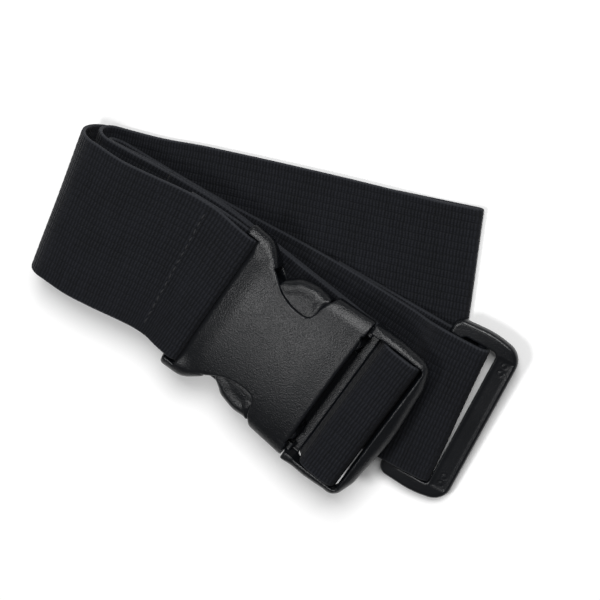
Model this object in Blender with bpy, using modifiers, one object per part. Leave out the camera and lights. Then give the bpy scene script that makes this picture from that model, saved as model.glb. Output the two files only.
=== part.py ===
"""A folded luggage strap: ribbed webbing, a latched side-release buckle and a slide adjuster.

The strap lies flat on a surface. +X runs along the buckle from its socket to its plug, and +Z is up.
Places are first given from the buckle's centre, and the whole strap is then stood on its origin.
"""

import math

import bmesh
import bpy
from mathutils import Matrix, Vector

MM = 0.001

# The webbing.
WEB_WIDTH = 50 * MM
WEB_THICKNESS = 1.4 * MM
GAP = 0.3 * MM
WEB_HALF = WEB_THICKNESS / 2
LAYER = WEB_THICKNESS + GAP
FOLD_STEPS = 10
THREAD_RADIUS = 0.35 * MM

# Heights of the middle of each layer of webbing.
BOTTOM_Z = WEB_HALF
UPPER_Z = BOTTOM_Z + LAYER
LEG_Z = UPPER_Z + LAYER
ADJUSTER_RUN_Z = LEG_Z + LAYER
RETURN_Z = 9.3 * MM
FEED_Z = RETURN_Z + LAYER
TOP_Z = 19.5 * MM

# The buckle, along X from its centre, and how far its middle line lies from y = 0.
BUCKLE_Y = 0.8 * MM
BUCKLE_WIDTH = 57 * MM
BUCKLE_BOTTOM = 12 * MM
BUCKLE_THICKNESS = 12 * MM
BUCKLE_MIDDLE = BUCKLE_BOTTOM + BUCKLE_THICKNESS / 2
BUCKLE_TOP = BUCKLE_BOTTOM + BUCKLE_THICKNESS
EDGE_ROUND = 0.9 * MM
SLOT_HALF = WEB_WIDTH / 2 + 0.7 * MM
EAR_END_X = -42.2 * MM
MOUTH_X = 9.5 * MM
END_BAR_X = -39.2 * MM
END_BAR_RADIUS = 1.8 * MM
END_LOOP_RADIUS = END_BAR_RADIUS + GAP + WEB_HALF
SLOT_WALL_X = END_BAR_X + END_LOOP_RADIUS + WEB_HALF + 0.4 * MM
CROWN_RISE = 1.3 * MM

# The socket's hollow, and what slides in it.
CAVITY_END_X = -31 * MM
CAVITY_HALF_WIDTH = 22.9 * MM
CAVITY_HEIGHT = 7 * MM
PLUG_HEIGHT = CAVITY_HEIGHT - 2 * GAP
WINDOW_DEPTH_Y = 17 * MM

# The plug's frame.
FRAME_START_X = MOUTH_X + 1.4 * MM
FRAME_END_X = 36 * MM
FRAME_HALF_WIDTH = 28.5 * MM
FRAME_SLOT_START_X = FRAME_START_X + 1.5 * MM
FRAME_SLOT_END_X = 31 * MM
GRIP_BAR_X = (18.2 * MM, 27.6 * MM)
GRIP_BAR_Z = (16.4 * MM, 19.9 * MM)
ARM_ROOT = Vector((7.8 * MM, 18.6 * MM, BUCKLE_MIDDLE))
ARM_ROOT_RADIUS = 2.6 * MM

# The slide adjuster, in its own tilted frame: U runs with the webbing, and V across it.
ADJUSTER_CENTRE = Vector((44.0 * MM, 16.2 * MM, 5.9 * MM))
ADJUSTER_HEADING = math.radians(8.4)
ADJUSTER_DROP = math.radians(5)
ADJUSTER_BANK = math.radians(4.3)
ADJUSTER_SIZE = Vector((24 * MM, 62 * MM, 3.6 * MM))
ADJUSTER_CORNER = 7 * MM
NEAR_SLOT_U = (-7.4 * MM, -2.2 * MM)
FAR_SLOT_U = (0.8 * MM, 4.6 * MM)
ADJUSTER_BAR_U = (NEAR_SLOT_U[1] + FAR_SLOT_U[0]) / 2
ADJUSTER_BAR_HALF_Z = 1.4 * MM
LOOP_HEADING = math.radians(9.8)

WEB_COLOUR = (0.011, 0.012, 0.014)
BUCKLE_COLOUR = (0.022, 0.023, 0.026)
ADJUSTER_COLOUR = (0.026, 0.027, 0.030)
THREAD_COLOUR = (0.030, 0.031, 0.034)


def clear_scene():
    for obj in list(bpy.data.objects):
        bpy.data.objects.remove(obj)


def new_collection(name):
    collection = bpy.data.collections.new(name)
    bpy.context.scene.collection.children.link(collection)
    return collection


def new_material(name, colour, roughness):
    material = bpy.data.materials.new(name)
    material.use_nodes = True
    shader = material.node_tree.nodes["Principled BSDF"]
    shader.inputs["Base Color"].default_value = (*colour, 1)
    shader.inputs["Roughness"].default_value = roughness
    shader.inputs["Metallic"].default_value = 0
    return material


def add_piece(name, mesh, material):
    piece = bpy.data.objects.new(name, mesh)
    PIECES.objects.link(piece)
    mesh.materials.clear()
    mesh.materials.append(material)
    return piece


def add_cutter(name, mesh):
    cutter = bpy.data.objects.new(name, mesh)
    CUTTERS.objects.link(cutter)
    cutter.hide_render = True
    cutter.display_type = "WIRE"
    return cutter


def box_mesh(low, high):
    """A box between two corners."""
    low = Vector(low)
    high = Vector(high)
    size = high - low
    shape = bmesh.new()
    place = Matrix.Translation((low + high) / 2) @ Matrix.Diagonal((*size, 1))
    bmesh.ops.create_cube(shape, size=1, matrix=place)
    return finish_mesh(shape)


def rod_mesh(centre, radius, length, turn, segments=20):
    """A cylinder along local Z, turned by the given matrix."""
    shape = bmesh.new()
    bmesh.ops.create_cone(
        shape,
        cap_ends=True,
        segments=segments,
        radius1=radius,
        radius2=radius,
        depth=length,
        matrix=Matrix.Translation(centre) @ turn,
    )
    return finish_mesh(shape)


def finish_mesh(shape):
    mesh = bpy.data.meshes.new("shape")
    shape.to_mesh(mesh)
    shape.free()
    return mesh


def rounded(corners, steps=5):
    """The outline through corners (x, y, radius), with each corner rounded to its radius."""
    outline = []
    for i, (x, y, radius) in enumerate(corners):
        corner = Vector((x, y))
        before = (Vector(corners[i - 1][:2]) - corner).normalized()
        after = (Vector(corners[(i + 1) % len(corners)][:2]) - corner).normalized()
        half = before.angle(after) / 2
        if radius == 0:
            outline.append(corner)
            continue
        reach = radius / math.tan(half)
        middle = corner + (before + after).normalized() * (radius / math.sin(half))
        first = corner + before * reach - middle
        last = corner + after * reach - middle
        for k in range(steps + 1):
            outline.append(middle + first.lerp(last, k / steps).normalized() * radius)
    return outline


def mirrored(corners):
    """Corners of an outline that is the same on both sides of y = 0, from its y > 0 side."""
    return corners + [(x, -y, radius) for x, y, radius in reversed(corners)]


def slab_mesh(outline, low, high, turn=Matrix()):
    """A flat outline thickened from low to high along Z, then turned."""
    curve = bpy.data.curves.new("outline", "CURVE")
    curve.dimensions = "2D"
    curve.fill_mode = "BOTH"
    curve.extrude = (high - low) / 2
    spline = curve.splines.new("POLY")
    spline.points.add(len(outline) - 1)
    for point, place in zip(spline.points, outline):
        point.co = (*place, 0, 1)
    spline.use_cyclic_u = True
    guide = bpy.data.objects.new("outline", curve)
    CUTTERS.objects.link(guide)
    bpy.context.view_layer.update()
    graph = bpy.context.evaluated_depsgraph_get()
    mesh = bpy.data.meshes.new_from_object(guide.evaluated_get(graph))
    bpy.data.objects.remove(guide)
    shape = bmesh.new()
    shape.from_mesh(mesh)
    bmesh.ops.remove_doubles(shape, verts=shape.verts, dist=1e-6)
    bmesh.ops.transform(shape, matrix=turn @ Matrix.Translation((0, 0, (low + high) / 2)), verts=shape.verts)
    bmesh.ops.recalc_face_normals(shape, faces=shape.faces)
    return finish_mesh(shape)


def combine(piece, other, operation):
    """A Boolean whose other shape moves with the piece."""
    hold(other, piece)
    modifier = piece.modifiers.new(other.name, "BOOLEAN")
    modifier.operation = operation
    modifier.object = other
    modifier.solver = "EXACT"


def round_edges(piece, width, segments=2, angle=35):
    modifier = piece.modifiers.new("rounded edges", "BEVEL")
    modifier.width = width
    modifier.segments = segments
    modifier.limit_method = "ANGLE"
    modifier.angle_limit = math.radians(angle)


def add_empty(name, place, parent=None):
    empty = bpy.data.objects.new(name, None)
    PIECES.objects.link(empty)
    empty.empty_display_size = 5 * MM
    empty.location = place
    if parent:
        hold(empty, parent)
    return empty


def hold(piece, parent):
    """Parents a piece without moving it."""
    bpy.context.view_layer.update()
    place = piece.matrix_world.copy()
    piece.parent = parent
    piece.matrix_parent_inverse = parent.matrix_world.inverted()
    piece.matrix_world = place


# The turn that stands a slab's outline up: its first axis along Y and its second along Z.
ACROSS = Matrix(((0, 0, 1, 0), (1, 0, 0, 0), (0, 1, 0, 0), (0, 0, 0, 1)))
# The turn that stands a slab's outline up: its first axis along X and its second along Z.
ALONG = Matrix.Rotation(math.radians(90), 4, "X")


# ---- Webbing ----


def station(x, y, z, heading=0.0, bank=0.0):
    """A place on the webbing's middle line, in millimetres, with its heading and its bank in degrees."""
    return Vector((x * MM, y * MM, z)), math.radians(heading), math.radians(bank)


def across(heading, bank):
    """The unit vector across the webbing."""
    flat = Vector((-math.sin(heading), math.cos(heading), 0))
    return flat * math.cos(bank) + Vector((0, 0, math.sin(bank)))


def blended(a, b, amount):
    return a[0].lerp(b[0], amount), a[1] + (b[1] - a[1]) * amount, a[2] + (b[2] - a[2]) * amount


def smooth_run(stops, spacing=7 * MM):
    """Stations along a smooth curve through the given ones."""
    run = [stops[0]]
    for i in range(len(stops) - 1):
        a = stops[max(i - 1, 0)]
        b = stops[i]
        c = stops[i + 1]
        d = stops[min(i + 2, len(stops) - 1)]
        steps = max(1, round((c[0] - b[0]).length / spacing))
        for k in range(1, steps + 1):
            run.append(spline_station(a, b, c, d, k / steps))
    return run


def spline_station(a, b, c, d, t):
    """The Catmull-Rom spline from b to c, with centripetal-like tangents scaled to the stretch's length."""
    stretch = (c[0] - b[0]).length
    before = stretch / max((c[0] - a[0]).length, 1e-9)
    after = stretch / max((d[0] - b[0]).length, 1e-9)
    h1 = 2 * t**3 - 3 * t**2 + 1
    h2 = t**3 - 2 * t**2 + t
    h3 = -2 * t**3 + 3 * t**2
    h4 = t**3 - t**2
    return tuple(
        b[k] * h1 + (c[k] - a[k]) * (before * h2) + c[k] * h3 + (d[k] - b[k]) * (after * h4)
        for k in range(3)
    )


def fold(low, high, depth, toward):
    """A half turn from the station low up to the station high, bulging by depth towards -X or +X."""
    turn = []
    middle = (low[0].z + high[0].z) / 2
    rise = (high[0].z - low[0].z) / 2
    for k in range(FOLD_STEPS + 1):
        angle = math.pi * k / FOLD_STEPS
        amount = (1 - math.cos(angle)) / 2
        place, heading, bank = blended(low, high, amount)
        reach = toward * depth * math.sin(angle)
        place = place + Vector((math.cos(heading), math.sin(heading), 0)) * reach
        place.z = middle - rise * math.cos(angle)
        turn.append((place, heading, bank))
    return turn


def loop_round_end_bar():
    """The sewn end: from its cut edge, under the end bar, round it and back over it."""
    leg = [
        station(-59.5, 0.0, TOP_Z + 0.3 * MM - LAYER, 8),
        station(-51, 1.2, TOP_Z + 0.5 * MM - LAYER, 4),
        station(-45, 1.0, BUCKLE_MIDDLE - END_LOOP_RADIUS + 0.9 * MM, 1),
        station(END_BAR_X / MM, 0.8, BUCKLE_MIDDLE - END_LOOP_RADIUS),
    ]
    over = [
        station(END_BAR_X / MM, 0.8, BUCKLE_MIDDLE + END_LOOP_RADIUS),
        station(-45, 1.0, BUCKLE_MIDDLE + END_LOOP_RADIUS - 0.2 * MM, 1),
        station(-51, 1.2, TOP_Z + 0.5 * MM, 4),
    ]
    turn = fold(leg[-1], over[0], END_LOOP_RADIUS, 1)
    return smooth_run(leg, 4 * MM) + turn[1:] + smooth_run(over, 4 * MM)[1:]


def loop_round_adjuster_bar(joined):
    """The other sewn end: over the near bar and the middle bar, round it, and back under to its cut edge."""
    half = ADJUSTER_SIZE.z / 2 + GAP + WEB_HALF
    rise = ADJUSTER_BAR_HALF_Z + GAP + WEB_HALF
    over = [
        joined,
        station(20.5, 11.4, ADJUSTER_RUN_Z + 0.4 * MM, 7, 0.8),
        station(24.8, 12.0, ADJUSTER_RUN_Z + 1.3 * MM, 8, 1.8),
        on_adjuster(-12.3 * MM, half),
        on_adjuster(-7 * MM, half),
        on_adjuster(ADJUSTER_BAR_U, rise),
    ]
    leg = [
        on_adjuster(ADJUSTER_BAR_U, -rise),
        on_adjuster(-7 * MM, -half),
        on_adjuster(-12.3 * MM, -half),
        station(24, 13.4, LEG_Z + 1.0 * MM, 9, 2.0),
        station(12, 11.0, LEG_Z, 8),
        station(-10, 7.6, LEG_Z, 8),
    ]
    turn = [on_adjuster(ADJUSTER_BAR_U + 3.5 * MM * math.sin(a), rise * math.cos(a)) for a in half_turn()]
    return smooth_run(over, 3 * MM) + turn + smooth_run(leg, 5 * MM)


def half_turn():
    """The angles strictly between 0 and half a turn."""
    return [math.pi * k / FOLD_STEPS for k in range(1, FOLD_STEPS)]


def adjuster_matrix():
    turn = Matrix.Rotation(ADJUSTER_HEADING, 4, "Z")
    drop = Matrix.Rotation(ADJUSTER_DROP, 4, "Y")
    bank = Matrix.Rotation(ADJUSTER_BANK, 4, "X")
    return Matrix.Translation(ADJUSTER_CENTRE) @ turn @ drop @ bank


def on_adjuster(u, height):
    """A station on the middle of the adjuster, at U and at a height over its middle plane."""
    return adjuster_matrix() @ Vector((u, 0, height)), LOOP_HEADING, ADJUSTER_BANK


def webbing_lengths():
    """The one length of webbing, as the named stretches that it passes through from end to end."""
    outer_high = station(-93.5, -6.8, TOP_Z - 0.1 * MM, 10.5)
    outer_low = station(-93.0, -4.2, BOTTOM_Z, 16)
    top = [
        station(-51, 1.2, TOP_Z + 0.5 * MM, 4),
        station(-59.5, 0.0, TOP_Z + 0.3 * MM, 8),
        station(-75, -4.0, TOP_Z + 0.1 * MM, 10),
        station(-84, -6.0, TOP_Z, 10),
        outer_high,
    ]
    right_low = station(23.6, 51.6, BOTTOM_Z, 28)
    right_high = station(23.6, 51.6, 3.2 * MM, 28)
    bottom = [
        outer_low,
        station(-78, 1.8, BOTTOM_Z, 21),
        station(-60, 10.4, BOTTOM_Z, 25.5),
        station(-20, 30.1, BOTTOM_Z, 27),
        right_low,
    ]
    middle_low = station(-91.0, -2.4, UPPER_Z, 17)
    middle_high = station(-90.6, -5.0, 13.0 * MM, 12)
    upper = [
        right_high,
        station(12, 45.7, UPPER_Z + 0.2 * MM, 28),
        station(-20, 31.2, UPPER_Z, 27),
        station(-60, 12.2, UPPER_Z, 25.5),
        station(-76, 4.0, UPPER_Z, 21.5),
        middle_low,
    ]
    feed_start = [
        middle_high,
        station(-70, -1.6, 12.2 * MM, 9),
        station(-52, 0.5, FEED_Z + 0.2 * MM, 3),
        station(END_BAR_X / MM, 0.8, FEED_Z),
    ]
    feed = [station(END_BAR_X / MM, 0.8, FEED_Z), station(-15, 0.8, FEED_Z), station(7, 0.8, FEED_Z)]
    wrap = [
        station(7, 0.8, FEED_Z),
        station(12, 0.8, FEED_Z + 0.6 * MM),
        station(15, 0.8, 14.6 * MM),
        station(16, 0.8, 18.0 * MM),
        station(16.9, 0.8, 20.2 * MM),
        station(19.3, 0.8, 20.95 * MM),
        station(22.8, 0.8, 21.1 * MM),
        station(26.0, 0.8, 20.95 * MM),
        station(28.1, 0.8, 20.1 * MM),
        station(28.9, 0.8, 18.0 * MM),
        station(28.4, 0.8, 14.6 * MM),
        station(26.0, 0.8, 11.7 * MM),
        station(21.0, 0.8, RETURN_Z + 0.6 * MM),
        station(14, 0.8, RETURN_Z),
    ]
    back = [station(14, 0.8, RETURN_Z), station(-15, 0.8, RETURN_Z), station(END_BAR_X / MM, 0.8, RETURN_Z)]
    inner_high = station(-89.0, -5.6, RETURN_Z - 0.2 * MM, 13.5)
    inner_low = station(-89.0, -5.6, LEG_Z, 13.5)
    back_start = [
        station(END_BAR_X / MM, 0.8, RETURN_Z),
        station(-52, 0.5, RETURN_Z, 3),
        station(-70, -1.8, RETURN_Z - 0.1 * MM, 9),
        inner_high,
    ]
    joined = station(12, 10.3, ADJUSTER_RUN_Z, 6)
    adjuster_run = [
        inner_low,
        station(-55, -0.9, LEG_Z, 10),
        station(-22, 5.3, LEG_Z + 0.4 * MM, 9),
        station(-8, 7.9, ADJUSTER_RUN_Z, 7),
        joined,
    ]
    return {
        "webbing_buckle_loop": loop_round_end_bar(),
        "webbing_top_run": smooth_run(top),
        "webbing_outer_fold": fold(outer_low, outer_high, 8 * MM, -1)[::-1],
        "webbing_bottom_run": smooth_run(bottom, 12 * MM),
        "webbing_right_fold": fold(right_low, right_high, 1.9 * MM, 1),
        "webbing_upper_run": smooth_run(upper),
        "webbing_middle_fold": fold(middle_low, middle_high, 6.2 * MM, -1),
        "webbing_feed_run": smooth_run(feed_start),
        "webbing_under_buckle_feed": smooth_run(feed, 24 * MM),
        "webbing_grip_bar_wrap": smooth_run(wrap, 2 * MM),
        "webbing_under_buckle_return": smooth_run(back, 24 * MM),
        "webbing_return_run": smooth_run(back_start),
        "webbing_inner_fold": fold(inner_low, inner_high, 4.2 * MM, -1)[::-1],
        "webbing_adjuster_run": smooth_run(adjuster_run),
        "webbing_adjuster_loop": loop_round_adjuster_bar(joined),
    }


def trimmed(stations):
    """The same stretch, half a gap shorter at each end."""
    ends = []
    for end, inside in ((stations[0], stations[1]), (stations[-1], stations[-2])):
        amount = GAP / 2 / (inside[0] - end[0]).length
        ends.append(blended(end, inside, amount))
    return [ends[0]] + stations[1:-1] + [ends[1]]


def ribbon_mesh(stations):
    """An open strip that follows the stations, the webbing's width across."""
    shape = bmesh.new()
    last = len(stations) - 1
    bmesh.ops.create_grid(shape, x_segments=last, y_segments=1, size=0.5)
    for vertex in shape.verts:
        place, heading, bank = stations[round((vertex.co.x + 0.5) * last)]
        vertex.co = place + across(heading, bank) * (WEB_WIDTH * vertex.co.y)
    return finish_mesh(shape)


def build_webbing(root, buckle):
    web = new_material("webbing", WEB_COLOUR, 0.85)
    lengths = webbing_lengths()
    with_buckle = ("webbing_under_buckle_feed", "webbing_grip_bar_wrap", "webbing_under_buckle_return")
    for name, stations in lengths.items():
        piece = add_piece(name, ribbon_mesh(trimmed(stations)), web)
        solid = piece.modifiers.new("thickness", "SOLIDIFY")
        solid.thickness = WEB_THICKNESS
        solid.offset = 0
        solid.use_even_offset = True
        hold(piece, buckle if name in with_buckle else root)


def build_stitching(root):
    """The row of thread that closes each sewn loop, lying across the webbing."""
    thread = new_material("thread", THREAD_COLOUR, 0.6)
    rows = {
        "buckle_loop_stitching": station(-53.2, 1.0, TOP_Z + 0.42 * MM, 5),
        "adjuster_loop_stitching": station(-2, 9.1, ADJUSTER_RUN_Z, 8),
    }
    for name, (place, heading, bank) in rows.items():
        lift = WEB_HALF + GAP + THREAD_RADIUS
        turn = across(heading, bank).to_track_quat("Z", "X").to_matrix().to_4x4()
        mesh = rod_mesh(place + Vector((0, 0, lift)), THREAD_RADIUS, 46 * MM, turn, 8)
        hold(add_piece(name, mesh, thread), root)


# ---- Buckle ----


def crown_outline(low, high, half_width):
    """A section whose top is a shallow arch, from one side of the buckle to the other."""
    points = [Vector((-half_width, low)), Vector((half_width, low))]
    for k in range(13):
        side = 1 - k / 6
        points.append(Vector((half_width * side, high - CROWN_RISE * side**2)))
    return points


def socket_plan():
    return rounded(
        mirrored(
            [
                (MOUTH_X, 27.3 * MM, 1 * MM),
                (-5 * MM, 26.6 * MM, 3 * MM),
                (-26 * MM, 27 * MM, 3 * MM),
                (EAR_END_X, 28.4 * MM, 2.5 * MM),
            ]
        )
    )


def window_plan(side):
    corners = [
        (-31 * MM, 31 * MM, 0),
        (-23.6 * MM, 19.4 * MM, 3 * MM),
        (-20 * MM, WINDOW_DEPTH_Y, 3 * MM),
        (-8.4 * MM, WINDOW_DEPTH_Y - 0.8 * MM, 1.5 * MM),
        (-4.4 * MM, 25.5 * MM, 2 * MM),
        (-4.0 * MM, 31 * MM, 0),
    ]
    return [Vector((p.x, side * p.y)) for p in rounded(corners)[::side]]


def build_socket(material):
    """The socket: a crowned sleeve with a window in each side, and an end bar between two ears."""
    plan = slab_mesh(socket_plan(), BUCKLE_BOTTOM - MM, BUCKLE_TOP + MM)
    socket = add_piece("socket_housing", plan, material)
    crown = crown_outline(BUCKLE_BOTTOM, BUCKLE_TOP, BUCKLE_WIDTH / 2 + MM)
    section = slab_mesh(crown, EAR_END_X - MM, MOUTH_X + MM, ACROSS)
    combine(socket, add_cutter("socket crown", section), "INTERSECT")
    for side, label in ((1, "left"), (-1, "right")):
        window = slab_mesh(window_plan(side), BUCKLE_BOTTOM - 2 * MM, BUCKLE_TOP + 2 * MM)
        combine(socket, add_cutter(f"{label} window", window), "DIFFERENCE")
    end_slot = box_mesh(
        (EAR_END_X - MM, -SLOT_HALF, BUCKLE_BOTTOM - 2 * MM),
        (SLOT_WALL_X, SLOT_HALF, BUCKLE_TOP + 2 * MM),
    )
    combine(socket, add_cutter("end slot", end_slot), "DIFFERENCE")
    round_edges(socket, EDGE_ROUND)
    cavity = box_mesh(
        (CAVITY_END_X, -CAVITY_HALF_WIDTH, BUCKLE_MIDDLE - CAVITY_HEIGHT / 2),
        (MOUTH_X + 2 * MM, CAVITY_HALF_WIDTH, BUCKLE_MIDDLE + CAVITY_HEIGHT / 2),
    )
    combine(socket, add_cutter("cavity", cavity), "DIFFERENCE")
    bar = rod_mesh(
        (END_BAR_X, 0, BUCKLE_MIDDLE),
        END_BAR_RADIUS,
        2 * SLOT_HALF + 2 * MM,
        Matrix.Rotation(math.radians(90), 4, "X"),
    )
    combine(socket, add_cutter("end bar", bar), "UNION")
    return socket


def frame_plan():
    return rounded(
        mirrored(
            [
                (FRAME_END_X, 22 * MM, 5 * MM),
                (31.5 * MM, FRAME_HALF_WIDTH - 0.8 * MM, 4 * MM),
                (20 * MM, FRAME_HALF_WIDTH, 3 * MM),
                (FRAME_START_X, FRAME_HALF_WIDTH - 0.6 * MM, 1.2 * MM),
            ]
        )
    )


def frame_side():
    """The frame's side view: thick at the mouth, and thinner at the outer bar."""
    corners = [
        (FRAME_START_X - MM, 12.9 * MM, 0),
        (FRAME_SLOT_END_X, 14.0 * MM, 4 * MM),
        (FRAME_END_X + MM, 15.6 * MM, 0),
        (FRAME_END_X + MM, 20.4 * MM, 0),
        (FRAME_SLOT_END_X, 21.3 * MM, 4 * MM),
        (FRAME_START_X - MM, 22.7 * MM, 0),
    ]
    return [Vector((p.x, p.y)) for p in rounded(corners)]


def build_plug(material):
    """The plug: a frame with a grip bar outside the mouth, and a guide between the arms inside it."""
    plug = add_piece("plug_frame", slab_mesh(frame_plan(), 11 * MM, 24 * MM), material)
    side = slab_mesh(frame_side(), -FRAME_HALF_WIDTH - MM, FRAME_HALF_WIDTH + MM, ALONG)
    combine(plug, add_cutter("frame side", side), "INTERSECT")
    opening = box_mesh(
        (FRAME_SLOT_START_X, -SLOT_HALF, 10 * MM),
        (FRAME_SLOT_END_X, SLOT_HALF, 25 * MM),
    )
    combine(plug, add_cutter("frame opening", opening), "DIFFERENCE")
    round_edges(plug, EDGE_ROUND)
    grip = add_cutter(
        "grip bar",
        box_mesh(
            (GRIP_BAR_X[0], -SLOT_HALF - MM, GRIP_BAR_Z[0]),
            (GRIP_BAR_X[1], SLOT_HALF + MM, GRIP_BAR_Z[1]),
        ),
    )
    round_edges(grip, 1.2 * MM)
    combine(plug, grip, "UNION")
    low = BUCKLE_MIDDLE - PLUG_HEIGHT / 2
    high = BUCKLE_MIDDLE + PLUG_HEIGHT / 2
    root_block = box_mesh((2.5 * MM, -15 * MM, low), (FRAME_SLOT_START_X - 0.5 * MM, 15 * MM, high))
    combine(plug, add_cutter("plug root", root_block), "UNION")
    guide = box_mesh((-25 * MM, -4.5 * MM, low + MM), (4 * MM, 4.5 * MM, high - MM))
    combine(plug, add_cutter("plug guide", guide), "UNION")
    return plug


def arm_plan(side):
    root = Vector((ARM_ROOT.x, ARM_ROOT.y))
    corners = [
        (root.x + ARM_ROOT_RADIUS, root.y + ARM_ROOT_RADIUS, ARM_ROOT_RADIUS * 0.99),
        (3 * MM, 21.6 * MM, 2 * MM),
        (-5.9 * MM, 22.2 * MM, 0.5 * MM),
        (-5.1 * MM, 25.5 * MM, 0.6 * MM),
        (-11.6 * MM, 26.2 * MM, 8 * MM),
        (-18.5 * MM, 24.6 * MM, 5 * MM),
        (-24.6 * MM, 17.6 * MM, 2 * MM),
        (-21 * MM, 15.6 * MM, 2 * MM),
        (-10 * MM, 17.4 * MM, 4 * MM),
        (0, 17.8 * MM, 4 * MM),
        (root.x + ARM_ROOT_RADIUS, root.y - ARM_ROOT_RADIUS, ARM_ROOT_RADIUS * 0.99),
    ]
    return [Vector((p.x, side * p.y)) for p in rounded(corners)[::side]]


def build_arm(name, side, material, slide):
    """A release arm: a springy beam from the plug's root to the head that shows in the socket's window."""
    low = BUCKLE_MIDDLE - PLUG_HEIGHT / 2
    high = BUCKLE_MIDDLE + PLUG_HEIGHT / 2
    arm = add_piece(name, slab_mesh(arm_plan(side), low, high), material)
    round_edges(arm, 0.6 * MM)
    hinge = add_empty(f"{name} hinge", (ARM_ROOT.x, side * ARM_ROOT.y, ARM_ROOT.z), slide)
    hold(arm, hinge)
    return arm


def build_buckle(hinge):
    plastic = new_material("buckle", BUCKLE_COLOUR, 0.42)
    slide = add_empty("plug slide", (MOUTH_X, 0, BUCKLE_MIDDLE), hinge)
    centred = Matrix.Translation((0, BUCKLE_Y, 0))
    hold(build_socket(plastic), hinge)
    hold(build_plug(plastic), slide)
    build_arm("release_arm_left", 1, plastic, slide)
    build_arm("release_arm_right", -1, plastic, slide)
    hinge.matrix_world = centred @ hinge.matrix_world


# ---- Slide adjuster ----


def build_adjuster(root):
    """The slide adjuster: three bars in one flat moulded frame, lying tilted on the webbing's fold."""
    plastic = new_material("adjuster", ADJUSTER_COLOUR, 0.4)
    half = ADJUSTER_SIZE / 2
    corners = [(half.x, half.y, ADJUSTER_CORNER), (-half.x, half.y, 3.5 * MM)]
    corners += [(-half.x, -half.y, 3.5 * MM), (half.x, -half.y, ADJUSTER_CORNER)]
    adjuster = add_piece("slide_adjuster", slab_mesh(rounded(corners), -half.z, half.z), plastic)
    place = adjuster_matrix()
    opening = box_mesh((NEAR_SLOT_U[0], -SLOT_HALF, -half.z - MM), (FAR_SLOT_U[1], SLOT_HALF, half.z + MM))
    bar = box_mesh(
        (NEAR_SLOT_U[1], -SLOT_HALF - MM, -ADJUSTER_BAR_HALF_Z),
        (FAR_SLOT_U[0], SLOT_HALF + MM, ADJUSTER_BAR_HALF_Z),
    )
    cutter = add_cutter("adjuster opening", opening)
    middle_bar = add_cutter("adjuster middle bar", bar)
    round_edges(middle_bar, 1.1 * MM)
    for piece in (adjuster, cutter, middle_bar):
        piece.matrix_world = place
    combine(adjuster, cutter, "DIFFERENCE")
    round_edges(adjuster, EDGE_ROUND)
    combine(adjuster, middle_bar, "UNION")
    hold(adjuster, root)


def stand_on_origin(root):
    """Moves the whole strap so that its origin is at the middle of its box's underside."""
    bpy.context.view_layer.update()
    graph = bpy.context.evaluated_depsgraph_get()
    low = Vector((math.inf,) * 3)
    high = Vector((-math.inf,) * 3)
    for piece in PIECES.objects:
        if piece.type != "MESH":
            continue
        evaluated = piece.evaluated_get(graph)
        for corner in evaluated.data.vertices:
            place = evaluated.matrix_world @ corner.co
            low = Vector(map(min, low, place))
            high = Vector(map(max, high, place))
    root.location -= Vector(((low.x + high.x) / 2, (low.y + high.y) / 2, low.z))


clear_scene()
PIECES = new_collection("luggage_strap")
CUTTERS = new_collection("cutters")
strap_root = add_empty("strap root", (0, 0, 0))
buckle_hinge = add_empty("buckle hinge", (END_BAR_X, 0, BUCKLE_MIDDLE), strap_root)
build_buckle(buckle_hinge)
build_webbing(strap_root, buckle_hinge)
build_stitching(strap_root)
build_adjuster(strap_root)
stand_on_origin(strap_root)
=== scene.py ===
"""The looks of a folded luggage strap: ribbed webbing, a side-release buckle and a slide adjuster."""
import math

import bpy
import numpy as np
from mathutils import Matrix, Vector


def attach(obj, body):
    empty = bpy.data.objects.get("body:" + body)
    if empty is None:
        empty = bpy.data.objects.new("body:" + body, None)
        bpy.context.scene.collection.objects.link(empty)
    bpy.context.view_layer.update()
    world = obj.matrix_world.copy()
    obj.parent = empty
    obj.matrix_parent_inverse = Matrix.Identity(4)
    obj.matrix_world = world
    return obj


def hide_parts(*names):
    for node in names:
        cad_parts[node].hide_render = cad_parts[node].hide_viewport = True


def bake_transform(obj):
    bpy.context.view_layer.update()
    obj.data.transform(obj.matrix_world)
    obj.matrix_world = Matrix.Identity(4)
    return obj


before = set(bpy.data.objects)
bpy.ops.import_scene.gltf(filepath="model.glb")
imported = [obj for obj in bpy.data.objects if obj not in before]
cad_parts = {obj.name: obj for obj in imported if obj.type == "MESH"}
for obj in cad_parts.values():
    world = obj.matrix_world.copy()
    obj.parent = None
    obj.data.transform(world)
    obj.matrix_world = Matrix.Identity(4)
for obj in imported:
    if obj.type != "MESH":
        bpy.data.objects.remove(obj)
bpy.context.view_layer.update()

MM = 0.001
rng = np.random.default_rng(7)

# Where the buckle's own millimetre places are in the row frame.
SHIFT = np.array([24.045, -21.362, 0.0])

# The webbing, in millimetres, as in the CAD.
WEB_WIDTH = 50.0
WEB_HALF = 0.7
LAYER = 1.7
BOTTOM_Z = 0.7
UPPER_Z = 2.4
LEG_Z = 4.1
ADJUSTER_RUN_Z = 5.8
RETURN_Z = 9.3
FEED_Z = 11.0
TOP_Z = 19.5
RIBS = 21
RIB_PITCH = WEB_WIDTH / RIBS
GROOVE_DEPTH = 0.08

# The buckle and the adjuster, in millimetres, as in the CAD.
BUCKLE_Y = 0.8
BUCKLE_MIDDLE = 18.0
END_BAR_X = -39.2
END_LOOP_RADIUS = 2.8
SLOT_HALF = 25.7
ADJUSTER_CENTRE = (44.0, 16.2, 5.9)
ADJUSTER_BAR_U = -0.7
ADJUSTER_HEADING, ADJUSTER_DROP, ADJUSTER_BANK = 8.4, 5.0, 4.3
LOOP_HEADING = 11.0


# ---- Camera, light and floor ----


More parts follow.
